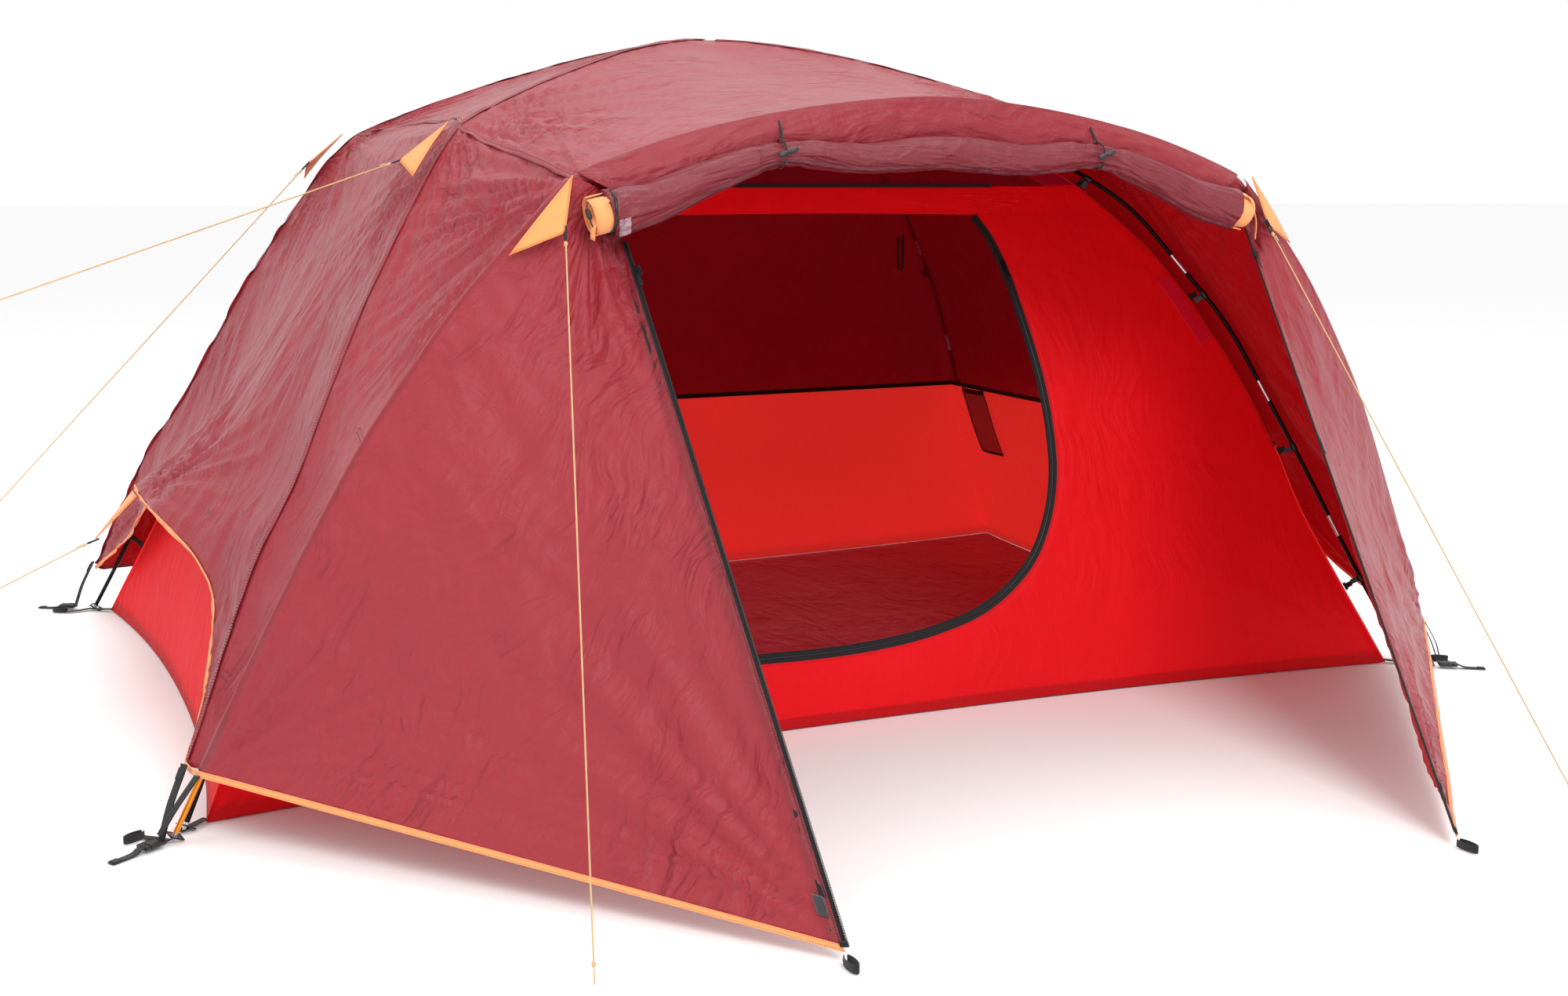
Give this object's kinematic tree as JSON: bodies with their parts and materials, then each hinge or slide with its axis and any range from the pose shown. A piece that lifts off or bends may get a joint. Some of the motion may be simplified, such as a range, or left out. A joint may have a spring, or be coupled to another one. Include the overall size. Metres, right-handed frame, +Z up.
{
  "type": "dome tent",
  "caption": "Free-standing dome tent: crossing poles, clipped inner tent with D-shaped doorway, and a fly with front vestibule, wings and rolled-up door.",
  "frame": {"origin": "centre of the floor's underside, on the ground, straight below the crossing of the main poles", "axes": "+X to the tent's right seen from the vestibule side, +Y to the back, away from the vestibule, +Z up"},
  "size_m": [2.7973, 2.622, 1.2651],
  "materials": {
    "fly_fabric": "coated ripstop nylon, soft sheen",
    "inner_fabric": "bright red nylon",
    "mesh": "fine no-see-um mesh, dark burgundy",
    "floor_fabric": "coated floor fabric",
    "orange_trim": "peach-orange binding and tabs",
    "black_webbing": "black woven webbing",
    "pole_black": "black anodised tube",
    "pole_gold": "gold anodised tube",
    "silver_metal": "bare aluminium",
    "black_plastic": "moulded acetal",
    "grey_plastic": "moulded acetal",
    "zip_black": "coil zip tape",
    "zip_metal": "black painted zip slider",
    "guy_cord": "pale peach braided cord",
    "elastic": "elastic shock cord",
    "roll_fabric": "rolled coated nylon"
  },
  "bodies": {
    "tent": {"buckle_sockets": "black_plastic", "corner_foot_webbings": "black_webbing", "crossing_clip": "black_plastic", "door_toggle_loops": "black_webbing", "fly_arch_sleeve": "fly_fabric", "fly_back_panel": "fly_fabric", "fly_back_roof_panel": "fly_fabric", "fly_bindings_and_roll_ends": "orange_trim", "fly_corner_straps": "black_webbing", "fly_door_roll": "roll_fabric", "fly_front_gussets": "fly_fabric", "fly_front_roof_panel": "fly_fabric", "fly_guy_tabs": "orange_trim", "fly_left_end_panel": "fly_fabric", "fly_left_wing": "fly_fabric", "fly_right_end_panel": "fly_fabric", "fly_right_wing": "fly_fabric", "fly_side_roof_panels": "fly_fabric", "fly_zip_tapes": "zip_black", "guy_line_end_loops": "guy_cord", "guy_line_front_left": "guy_cord", "guy_line_front_right": "guy_cord", "guy_line_left_back_elbow": "guy_cord", "guy_line_left_front_elbow": "guy_cord", "guy_line_left_side": "guy_cord", "guy_loops": "black_webbing", "inner_back_mesh": "mesh", "inner_back_wall": "inner_fabric", "inner_door_gathered": "inner_fabric", "inner_door_tie": "black_webbing", "inner_door_zip": "zip_black", "inner_floor": "floor_fabric", "inner_front_mesh": "mesh", "inner_front_wall": "inner_fabric", "inner_gear_pocket": "mesh", "inner_left_wall": "inner_fabric", "inner_right_wall": "inner_fabric", "inner_side_meshes": "mesh", "inner_webbing_tapes": "black_webbing", "main_pole_left_front_to_right_back": "pole_black", "main_pole_right_front_to_left_back": "pole_black", "pole_clips": "black_plastic", "pole_ferrules": "silver_metal", "pole_grommets": "silver_metal", "pole_tips": "silver_metal", "shock_cords": "elastic", "stake_loops": "black_webbing", "vestibule_arch_pole": "pole_gold"},
    "buckle_front_left": {"buckle_plug_front_left": "black_plastic"},
    "buckle_front_right": {"buckle_plug_front_right": "black_plastic"},
    "buckle_back_left": {"buckle_plug_back_left": "black_plastic"},
    "buckle_back_right": {"buckle_plug_back_right": "black_plastic"},
    "left_slider": {"fly_zip_slider_left": "zip_metal"},
    "left_pull": {"fly_zip_pull_left": "zip_metal"},
    "right_slider": {"fly_zip_slider_right": "zip_metal"},
    "right_pull": {"fly_zip_pull_right": "zip_metal"},
    "doorway_slider": {"inner_door_zip_slider": "zip_metal"},
    "doorway_pull": {"inner_door_zip_pull": "zip_metal"},
    "left_toggle": {"door_toggle_left": "grey_plastic"},
    "right_toggle": {"door_toggle_right": "grey_plastic"}
  },
  "joints": [
    {"name": "buckle_release_front_left", "type": "slide", "parent": "tent", "child": "buckle_front_left", "axis": [-0.829, -0.5593, 0], "range_m": [0, 0.022]},
    {"name": "buckle_release_front_right", "type": "slide", "parent": "tent", "child": "buckle_front_right", "axis": [0.829, -0.5593, 0], "range_m": [0, 0.022]},
    {"name": "buckle_release_back_left", "type": "slide", "parent": "tent", "child": "buckle_back_left", "axis": [-0.829, 0.5593, 0], "range_m": [0, 0.022]},
    {"name": "buckle_release_back_right", "type": "slide", "parent": "tent", "child": "buckle_back_right", "axis": [0.829, 0.5593, 0], "range_m": [0, 0.022]},
    {"name": "fly_zip_left", "type": "slide", "parent": "tent", "child": "left_slider", "axis": [0.0238, -0.6376, -0.77], "range_m": [0, 0.94]},
    {"name": "fly_zip_pull_left", "type": "hinge", "parent": "left_slider", "child": "left_pull", "pos_m": [-0.52846, -0.99896, 0.84432], "axis": [-0.8081, 0.4412, -0.3903], "range_deg": [0, 165]},
    {"name": "fly_zip_right", "type": "slide", "parent": "tent", "child": "right_slider", "axis": [-0.1077, -0.62, -0.7772], "range_m": [0, 0.94]},
    {"name": "fly_zip_pull_right", "type": "hinge", "parent": "right_slider", "child": "right_pull", "pos_m": [0.61866, -1.02002, 0.8522], "axis": [-0.7364, -0.4754, 0.4813], "range_deg": [0, 165]},
    {"name": "doorway_zip", "type": "slide", "parent": "tent", "child": "doorway_slider", "axis": [0.1952, -0.4016, -0.8948], "range_m": [0, 0.1]},
    {"name": "doorway_zip_pull", "type": "hinge", "parent": "doorway_slider", "child": "doorway_pull", "pos_m": [0.39836, -0.534, 0.82015], "axis": [-0.9807, -0.092, -0.1727], "range_deg": [0, 150]},
    {"name": "door_toggle_left", "type": "hinge", "parent": "tent", "child": "left_toggle", "pos_m": [-0.291, -1.0325, 1.02], "axis": [0, -1, 0], "range_deg": [-60, 60]},
    {"name": "door_toggle_right", "type": "hinge", "parent": "tent", "child": "right_toggle", "pos_m": [0.291, -1.0325, 1.02], "axis": [0, -1, 0], "range_deg": [-60, 60]}
  ]
}
